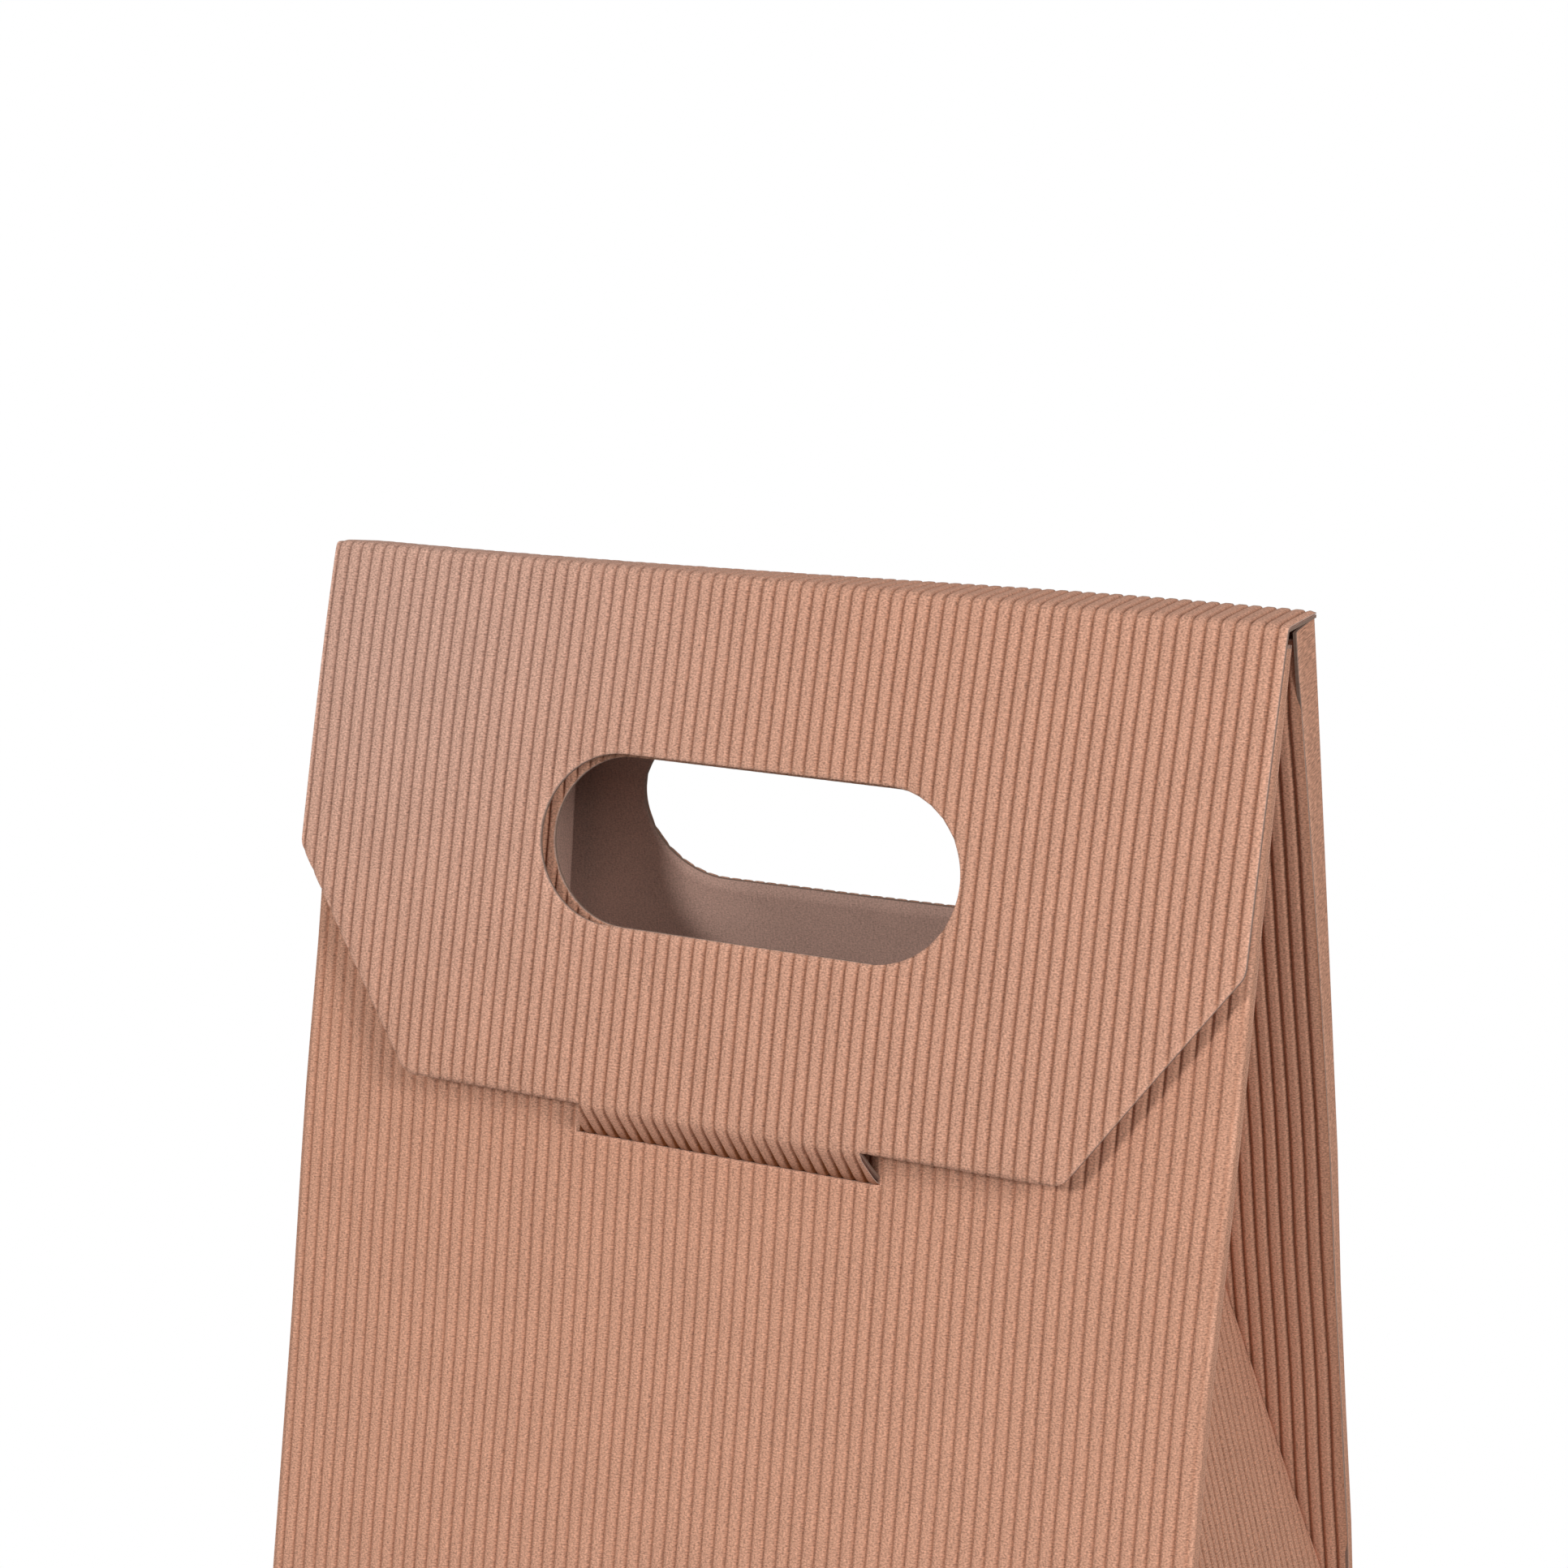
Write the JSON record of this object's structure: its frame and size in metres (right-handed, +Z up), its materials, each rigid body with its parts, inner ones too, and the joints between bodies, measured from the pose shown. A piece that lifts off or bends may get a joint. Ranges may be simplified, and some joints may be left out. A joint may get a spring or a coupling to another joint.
{
  "type": "cardboard wine gift box",
  "caption": "Gable-topped wine carrier folded from open-flute kraft card, with gusseted ends, a hand hole and a closure flap that tucks into a slot.",
  "frame": {"origin": "middle of the underside of the base", "axes": "+Z up, front with the closure flap towards -Y, width along X"},
  "size_m": [0.18, 0.108, 0.385],
  "materials": {
    "kraft_card": "matte brown kraft paper"
  },
  "bodies": {
    "box": {"carton_liner": "kraft_card", "carton_fluting": "kraft_card"},
    "flap": {"flap_liner": "kraft_card", "flap_fluting": "kraft_card"}
  },
  "joints": [
    {"name": "flap_fold", "type": "hinge", "parent": "box", "child": "flap", "pos_m": [0, 0.0052, 0.3842], "axis": [-1, 0, 0], "range_deg": [0, 170]}
  ]
}
